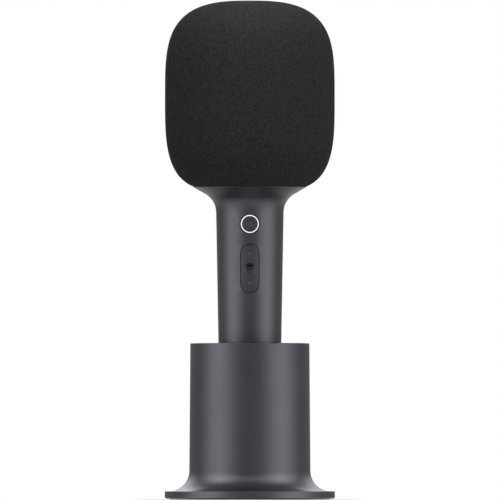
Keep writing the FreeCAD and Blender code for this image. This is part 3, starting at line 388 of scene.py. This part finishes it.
def new_object(name, points, faces, smooth=True):
    """Object with a mesh of those points and faces, linked into the scene."""
    mesh = bpy.data.meshes.new(name)
    mesh.from_pydata(points, [], faces)
    mesh.validate()
    mesh.polygons.foreach_set("use_smooth", [smooth] * len(mesh.polygons))
    piece = bpy.data.objects.new(name, mesh)
    bpy.context.collection.objects.link(piece)
    return piece


def lathe_object(name, profile, segments):
    """Turns a profile of (radius, height) about Z. A radius of 0 becomes one point on the axis."""
    points = []
    rings = []
    for r, z in profile:
        if r == 0:
            rings.append([len(points)] * segments)
            points.append((0, 0, z))
            continue
        rings.append(list(range(len(points), len(points) + segments)))
        for i in range(segments):
            a = 2 * math.pi * i / segments
            points.append((r * math.cos(a), r * math.sin(a), z))
    faces = []
    for low, high in zip(rings, rings[1:]):
        for i in range(segments):
            j = (i + 1) % segments
            corners = list(dict.fromkeys((low[i], low[j], high[j], high[i])))
            if len(corners) > 2:
                faces.append(corners)
    return new_object(name, points, faces)


# ---------------------------------------------------------------- finishes

def satin_metallic(name, tone):
    """Dark grey metallic paint: fine flake, faint handling marks and a soft orange-peel surface."""
    g = Graph(name)
    flake = g.cells(9000)
    smudge = g.noise(scale=38, detail=5, roughness=0.6)
    low, high = ([tone * share * c for c in PAINT_TINT] + [1] for share in (0.92, 1.08))
    g.colour(g.mix(g.span(flake, 0.2, 0.7), low, high))
    g.set("Metallic", PAINT_METAL_SHARE)
    g.set("Roughness", g.span(smudge, 0.3, 0.75, *PAINT_ROUGHNESS))
    peel = g.noise(scale=1500, detail=2)
    g.set("Normal", g.bump(peel, 0.00001, 0.25))
    return g.material


def black_knit():
    """Fine black knit: chevron stitches in columns, which lie flat across the crown. Its colour darkens
    down into the gaps between stitches as painted shade, and every leg of yarn has a painted sheen.
    """
    g = Graph("black_knit")
    axes = g.node("ShaderNodeSeparateXYZ", {0: g.coordinates}).outputs
    turn = g.math("ARCTAN2", axes["X"], g.math("MULTIPLY", axes["Y"], -1.0))
    side = stitches(g, (turn, WALES / (2 * math.pi)), (axes["Z"], 1 / (COURSE_MM * MM)))
    crown = stitches(g, (axes["X"], 1 / (CROWN_WALE_MM * MM)), (axes["Y"], 1 / (COURSE_MM * MM)))
    on_crown = g.span(axes["Z"], *CROWN_BLEND_Z)
    height, sheen = (g.mix(on_crown, a, b) for a, b in zip(side, crown))
    # Painted shade: the colour darkens from the yarn's crest down into the gaps between stitches
    yarn = g.mix(height, YARN_GAP_SHADE, YARN_LIGHT)
    # Painted sheen: each leg's colour is made randomly brighter or darker
    g.colour(g.mix(1.0, yarn, g.span(sheen, 0.0, 1.0, *YARN_SHEEN), "MULTIPLY"))
    g.set("Roughness", 0.92)
    g.set("Specular IOR Level", 0.05)
    fuzz = g.noise(scale=5200, detail=2)
    g.set("Normal", g.bump(height, 0.00016, 0.8, g.bump(fuzz, 0.00004, 0.5)))
    return g.material


def stitches(g, across, along):
    """Height and sheen of a plain knit; across and along are each a coordinate and its stitches per unit.
    Every stitch has two slanting legs, each with a painted sheen of its own: a random brightness in its
    colour."""
    u, v = (g.math("MULTIPLY", coordinate, rate) for coordinate, rate in (across, along))
    column = g.math("FRACT", u)
    legs = g.math("POWER", g.math("ABSOLUTE", g.math("SINE", g.math("MULTIPLY", column, 2 * math.pi))), 0.8)
    slant = g.math("ABSOLUTE", g.math("MULTIPLY_ADD", column, 2.0, -1.0))
    phase = g.math("MULTIPLY_ADD", slant, 0.5, v)
    row = g.math("MULTIPLY_ADD", g.math("SINE", g.math("MULTIPLY", phase, 2 * math.pi)), 0.4, 0.6)
    leg = g.math("FLOOR", g.math("MULTIPLY", u, 2.0))
    yarn = g.node("ShaderNodeCombineXYZ", {"X": leg, "Y": g.math("FLOOR", phase)}).outputs[0]
    sheen = g.node("ShaderNodeTexWhiteNoise", {"Vector": yarn}, noise_dimensions="2D").outputs["Value"]
    return g.math("MULTIPLY", legs, row), sheen


def lit_ring():
    """Translucent white light guide: its face glows with a faint grain. Its flange and sides are black and
    dull, both as a light-blocking mask and as painted shade for the dark gap round the ring.
    """
    g = Graph("lit_ring")
    grain = g.noise(scale=2500, detail=2)
    tone = g.ramp(grain, [(0.3, (0.84, 0.83, 0.88, 1)), (0.7, (0.92, 0.91, 0.96, 1))])
    front = -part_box("led_ring")[0].y
    axes = g.node("ShaderNodeSeparateXYZ", {0: g.coordinates}).outputs
    reach = g.math("SQRT", g.math("MULTIPLY_ADD", axes["X"], axes["X"], g.math("POWER", axes["Y"], 2.0)))
    face = g.span(reach, *(front - depth for depth in LED_GLOW_DEPTH))
    # Black, shine-free flange and sides: a light-blocking mask, and painted shade for the dark gap round
    # the ring
    g.colour(g.mix(face, grey(0.008), grey(0.18)))
    g.set("Roughness", 0.45)
    g.set("Specular IOR Level", g.math("MULTIPLY", face, 0.5))
    g.set("Emission Color", g.mix(face, grey(0.0), tone))
    g.set("Emission Strength", LED_GLOW)
    return g.material


def gloss_black():
    """Polished black key with faint fingerprints."""
    g = Graph("gloss_black")
    print_marks = g.noise(scale=900, detail=4)
    g.colour(g.ramp(print_marks, [(0.3, (0.004, 0.004, 0.005, 1)), (0.7, (0.008, 0.008, 0.009, 1))]))
    g.set("Roughness", g.span(print_marks, 0.35, 0.7, 0.06, 0.14))
    g.set("Specular IOR Level", 1.0)
    g.set("Coat Weight", 1.0)
    g.set("Coat Roughness", 0.06)
    return g.material


def moulded(name, tone, grain_scale=2600, roughness=0.55):
    """Moulded plastic with an eroded grain."""
    g = Graph(name)
    grain = g.noise(scale=grain_scale, detail=4, roughness=0.65)
    cloud = g.noise(scale=55, detail=3)
    dark = tuple(c * 0.88 for c in tone) + (1,)
    light = tuple(c * 1.14 for c in tone) + (1,)
    g.colour(g.mix(g.span(cloud, 0.3, 0.7), dark, light))
    g.set("Roughness", g.span(grain, 0.3, 0.7, roughness - 0.07, roughness + 0.07))
    g.set("Normal", g.bump(grain, 0.00002, 0.5))
    return g.material


def silicone():
    """Matte black silicone with a dusty bloom."""
    g = Graph("silicone")
    dust = g.noise(scale=180, detail=6, roughness=0.7)
    g.colour(g.ramp(dust, [(0.35, (0.016, 0.016, 0.017, 1)), (0.75, (0.034, 0.034, 0.035, 1))]))
    g.set("Roughness", g.span(dust, 0.3, 0.75, 0.62, 0.82))
    g.set("Normal", g.bump(g.noise(scale=3800, detail=3), 0.00002, 0.6))
    return g.material


def open_foam():
    """Open-cell foam: round pores of mixed size, with its colour darker down in the pores as painted shade.
    """
    g = Graph("open_foam")
    pores = g.cells(1400)
    fine = g.cells(3300)
    depth = g.math("MULTIPLY", pores, fine)
    # Painted shade: the colour darkens down into the pores
    g.colour(g.ramp(depth, [(0.05, (0.004, 0.004, 0.004, 1)), (0.35, (0.05, 0.05, 0.051, 1))]))
    g.set("Roughness", 0.95)
    g.set("Normal", g.bump(depth, 0.0003, 0.9))
    return g.material


def plated(name, tone, roughness=0.28):
    """Plated or plain metal with fine drawn lines and a little tarnish."""
    g = Graph(name)
    lines = g.noise(scale=1.0, detail=3, vector=g.stretched(900, 900, 9000))
    tarnish = g.noise(scale=120, detail=5)
    dark = tuple(c * 0.8 for c in tone) + (1,)
    g.colour(g.mix(g.span(tarnish, 0.35, 0.75), tone + (1,), dark))
    g.set("Metallic", 1.0)
    g.set("Roughness", g.span(lines, 0.3, 0.7, roughness - 0.06, roughness + 0.1))
    g.set("Normal", g.bump(lines, 0.000008, 0.4))
    return g.material


def circuit_board():
    """Solder mask over copper traces and pads."""
    g = Graph("circuit_board")
    upright = {"Vector": g.coordinates, "Rotation": (math.pi / 2, 0, 0)}
    grid = g.node("ShaderNodeTexBrick", {
        "Vector": g.node("ShaderNodeMapping", upright).outputs[0],
        "Scale": 420.0,
        "Mortar Size": 0.035,
    })
    pads = g.span(g.cells(420), 0.10, 0.13, 1.0, 0.0)
    mask = g.mix(grid.outputs["Fac"], (0.006, 0.055, 0.022, 1), (0.012, 0.11, 0.045, 1))
    g.colour(g.mix(pads, mask, (0.75, 0.68, 0.48, 1)))
    g.set("Metallic", g.math("MULTIPLY", pads, 0.9))
    g.set("Roughness", 0.32)
    g.set("Normal", g.bump(grid.outputs["Fac"], 0.00003, 0.5))
    return g.material


def shrink_wrap():
    """Glossy heat-shrunk film with slack near its ends."""
    g = Graph("shrink_wrap")
    slack = g.noise(scale=1.0, detail=3, vector=g.stretched(260, 260, 45))
    g.colour(g.ramp(slack, [(0.3, (0.010, 0.075, 0.14, 1)), (0.7, (0.016, 0.11, 0.19, 1))]))
    g.set("Roughness", 0.24)
    g.set("Coat Weight", 0.4)
    g.set("Normal", g.bump(slack, 0.0002, 0.35))
    return g.material


def paper_cone():
    """Pressed paper: matted fibres."""
    g = Graph("paper_cone")
    fibres = g.noise(scale=1.0, detail=6, roughness=0.75, vector=g.stretched(1500, 700, 700))
    g.colour(g.ramp(fibres, [(0.3, (0.018, 0.017, 0.016, 1)), (0.7, (0.05, 0.048, 0.045, 1))]))
    g.set("Roughness", 0.88)
    g.set("Normal", g.bump(fibres, 0.0001, 0.6))
    return g.material


def treated_cloth():
    """Amber resin-treated cloth with a plain weave."""
    g = Graph("treated_cloth")
    axes = g.node("ShaderNodeSeparateXYZ", {0: g.coordinates}).outputs
    warp = g.math("SINE", g.math("MULTIPLY", axes["Y"], 9000.0))
    weft = g.math("SINE", g.math("MULTIPLY", axes["Z"], 9000.0))
    weave = g.math("MULTIPLY", warp, weft)
    g.colour(g.ramp(g.span(weave, -1.0, 1.0), [(0.2, (0.16, 0.09, 0.03, 1)), (0.8, (0.34, 0.21, 0.08, 1))]))
    g.set("Roughness", 0.7)
    g.set("Normal", g.bump(weave, 0.00008, 0.7))
    return g.material


def sintered():
    """Ferrite: dark, slightly gritty ceramic."""
    g = Graph("sintered")
    grit = g.noise(scale=2200, detail=6, roughness=0.7)
    g.colour(g.ramp(grit, [(0.3, (0.028, 0.028, 0.030, 1)), (0.7, (0.07, 0.07, 0.073, 1))]))
    g.set("Metallic", 0.3)
    g.set("Roughness", g.span(grit, 0.3, 0.7, 0.45, 0.7))
    g.set("Normal", g.bump(grit, 0.00004, 0.5))
    return g.material


def wire_insulation():
    """Soft extruded insulation, red."""
    g = Graph("wire_insulation")
    skin = g.noise(scale=1.0, detail=3, vector=g.stretched(1600, 1600, 260))
    g.colour(g.ramp(skin, [(0.3, (0.20, 0.008, 0.008, 1)), (0.7, (0.29, 0.014, 0.012, 1))]))
    g.set("Roughness", 0.42)
    g.set("Normal", g.bump(skin, 0.00002, 0.4))
    return g.material


def foot_rubber():
    """Mid-grey rubber with a fine grain and pale scuffs."""
    g = Graph("foot_rubber")
    scuff = g.noise(scale=240, detail=6, roughness=0.7)
    g.colour(g.ramp(scuff, [(0.35, grey(0.30)), (0.75, grey(0.37))]))
    g.set("Roughness", g.span(scuff, 0.3, 0.75, 0.65, 0.8))
    g.set("Normal", g.bump(g.noise(scale=3800, detail=3), 0.00002, 0.5))
    return g.material


def printed_mark():
    """Pale pad-printed ink, thin and a little uneven."""
    g = Graph("printed_mark")
    ink = g.noise(scale=6000, detail=3)
    g.colour(g.ramp(ink, [(0.3, grey(0.26)), (0.7, grey(0.34))]))
    g.set("Roughness", 0.6)
    return g.material


def make_finishes():
    """One material for each slot of the record."""
    return {
        "knit": black_knit(),
        "handle_metal": satin_metallic("handle_metal", CASING_TONE),
        "dock_paint": satin_metallic("dock_paint", CASING_TONE),
        "key_metal": satin_metallic("key_metal", KEY_TONE),
        "gloss_black": gloss_black(),
        "light_guide": lit_ring(),
        "cage_plastic": moulded("cage_plastic", (0.012, 0.012, 0.012)),
        "foam": open_foam(),
        "capsule_metal": plated("capsule_metal", (0.62, 0.62, 0.64), 0.25),
        "silicone": silicone(),
        "housing_plastic": moulded("housing_plastic", (0.016, 0.016, 0.018)),
        "frame_plastic": moulded("frame_plastic", (0.026, 0.026, 0.028)),
        "screw_steel": plated("screw_steel", (0.52, 0.53, 0.56)),
        "switch_metal": plated("switch_metal", (0.66, 0.66, 0.68), 0.2),
        "board": circuit_board(),
        "chip": moulded("chip", (0.010, 0.010, 0.011), 5200, 0.5),
        "connector_plastic": moulded("connector_plastic", (0.62, 0.58, 0.47), 3000, 0.5),
        "cell": shrink_wrap(),
        "nickel": plated("nickel", (0.66, 0.63, 0.58), 0.3),
        "wire": wire_insulation(),
        "basket_steel": moulded("basket_steel", (0.012, 0.012, 0.013), 1800, 0.4),
        "magnet": sintered(),
        "cone_paper": paper_cone(),
        "spider_cloth": treated_cloth(),
        "soft_cup": moulded("soft_cup", (0.014, 0.014, 0.015), 3400, 0.78),
        "ballast_steel": plated("ballast_steel", (0.30, 0.30, 0.31), 0.42),
        "foot_rubber": foot_rubber(),
    }


def dress_nodes(finishes):
    """Gives every CAD node the material of its slot."""
    for part in frame["record"]["subparts"]:
        node = frame["nodes"][part["node"]]
        node.data.materials.clear()
        node.data.materials.append(finishes[part["material_slot"]])


# ---------------------------------------------------------------- pieces

def head_profile(inset, rings, upper, end_share=1.0):
    """Points (radius, height) of the head outline, moved inwards by inset, from the waist outwards."""
    low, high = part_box("fabric_cover")
    radius = (high.x - low.x) / 2
    height, (p, q) = (high.z - WAIST_Z, CROWN_POWERS) if upper else (BOWL_DEPTH, BOWL_POWERS)
    sign = 1 if upper else -1
    points = []
    for i in range(rings + 1):
        angle = math.pi / 2 * end_share * i / rings
        rise = max(math.sin(angle), 0.0) ** (2 / p)
        reach = max(math.cos(angle), 0.0) ** (2 / q)
        normal = Vector((q / radius * reach ** (q - 1), sign * p / height * rise ** (p - 1))).normalized()
        r = radius * reach - normal.x * inset
        z = WAIST_Z + sign * height * rise - normal.y * inset
        points.append((r if r > 1e-6 else 0.0, z))
    return points


def bowl_share():
    """How far round the lower curve the knit reaches, as a share of a quarter turn."""
    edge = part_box("fabric_cover")[0].z
    share = (WAIST_Z - edge) / BOWL_DEPTH
    return math.asin(share ** (BOWL_POWERS[0] / 2)) / (math.pi / 2)


def knit_cover(finish):
    """Stretched knit sleeve: one skin over the cage, turned in at its lower edge."""
    share = bowl_share()
    outside = head_profile(0.0, CROWN_RINGS, True)[::-1] + head_profile(0.0, BOWL_RINGS, False, share)[1:]
    inside = head_profile(KNIT_THICK, CROWN_RINGS // 2, True)[::-1]
    inside += head_profile(KNIT_THICK, BOWL_RINGS // 2, False, share)[1:]
    cover = lathe_object("knit_cover", outside + inside[::-1], KNIT_SEGMENTS)
    cover.data.materials.append(finish)
    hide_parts("fabric_cover")
    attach(cover, "microphone")


def foam_lens(finish):
    """Domed foam pad under the crown, hollowed for the capsule, with soft edges."""
    low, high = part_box("windscreen_foam")
    radius = (high.x - low.x) / 2
    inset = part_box("fabric_cover")[1].z - high.z
    crown = head_profile(inset, FOAM_RINGS, True)[::-1]
    dome = [(r, z) for r, z in crown if r < radius * FOAM_DOME_SHARE]
    ceiling = low.z + FOAM_HOLLOW_HEIGHT
    corner_width, corner_height = FOAM_HOLLOW_CORNER
    profile = dome + [
        (radius, dome[-1][1] - FOAM_DOME_EDGE),
        (radius, low.z + FOAM_FOOT_EDGE),
        (radius - FOAM_FOOT_EDGE, low.z),
        (FOAM_HOLLOW_RADIUS + FOAM_HOLLOW_RIM, low.z),
        (FOAM_HOLLOW_RADIUS, low.z + FOAM_HOLLOW_RIM),
        (FOAM_HOLLOW_RADIUS, ceiling - corner_height),
        (FOAM_HOLLOW_RADIUS - corner_width, ceiling),
        (0.0, ceiling),
    ]
    lens = lathe_object("foam_lens", profile, FOAM_SEGMENTS)
    lens.data.materials.append(finish)
    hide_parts("windscreen_foam")
    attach(lens, "microphone")


def handle_front(z):
    """Distance from the axis to the handle's front face at height z."""
    return HANDLE_FOOT_RADIUS + HANDLE_TAPER * (z - HANDLE_FOOT_Z)


def bar(name, centre_z, half_x, half_z):
    """Short bar with round ends, inlaid in the front face at x = 0."""
    steps = 10
    long_way = half_x > half_z
    end = min(half_x, half_z)
    reach = max(half_x, half_z) - end
    outline = []
    for side in (-1, 1):
        for i in range(steps + 1):
            angle = math.pi * i / steps - math.pi / 2
            along = side * (reach + end * math.cos(angle))
            across = side * end * math.sin(angle)
            outline.append((along, across) if long_way else (-across, along))
    return slab(name, outline, centre_z)


def slab(name, outline, centre_z):
    """Thin plate with that outline in X and Z, inlaid in the handle's front face."""
    front = handle_front(centre_z) - MARK_SINK
    count = len(outline)
    points = [(x, -front, centre_z + z) for x, z in outline]
    points += [(x, -(front - MARK_DEPTH / 2), centre_z + z) for x, z in outline]
    faces = [list(range(count)), list(range(2 * count - 1, count - 1, -1))]
    faces += [[i, i + count, (i + 1) % count + count, (i + 1) % count] for i in range(count)]
    return new_object(name, points, faces, smooth=False)


def key_marks(finish):
    """Plus and minus on the rocker, and a line-in-circle symbol on the power key."""
    rocker = middle_z("volume_rocker")
    button = middle_z("power_button")
    plus, minus = rocker + VOLUME_MARK_OFFSET, rocker - VOLUME_MARK_OFFSET
    marks = [
        (bar("plus_mark_level", plus, MARK_REACH, MARK_HALF_WIDTH), "volume_rocker"),
        (bar("plus_mark_upright", plus, MARK_HALF_WIDTH, MARK_REACH), "volume_rocker"),
        (bar("minus_mark", minus, MARK_REACH, MARK_HALF_WIDTH), "volume_rocker"),
        (bar("power_mark_bar", button + POWER_BAR_RISE, MARK_HALF_WIDTH, POWER_BAR_REACH), "power_button"),
        (arc_mark("power_mark_ring", button), "power_button"),
    ]
    for mark, body in marks:
        mark.data.materials.append(finish)
        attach(mark, body)


def middle_z(node):
    """Height of the middle of a node."""
    low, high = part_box(node)
    return (low.z + high.z) / 2


def arc_mark(name, centre_z):
    """Open ring of the power symbol."""
    steps = 40
    there, back = range(steps + 1), range(steps, -1, -1)
    outline = []
    for widening, sweep in ((MARK_HALF_WIDTH, there), (-MARK_HALF_WIDTH, back)):
        radius = POWER_MARK_RADIUS + widening
        for i in sweep:
            angle = math.pi / 2 + POWER_MARK_GAP + (2 * math.pi - 2 * POWER_MARK_GAP) * i / steps
            outline.append((radius * math.cos(angle), radius * math.sin(angle)))
    return slab(name, outline, centre_z)


# ---------------------------------------------------------------- scene

def main():
    make_camera()
    make_world()
    make_lights()
    make_floor()
    finishes = make_finishes()
    dress_nodes(finishes)
    knit_cover(finishes["knit"])
    foam_lens(finishes["foam"])
    key_marks(printed_mark())
    bpy.context.scene.view_settings.view_transform = "Standard"


main()
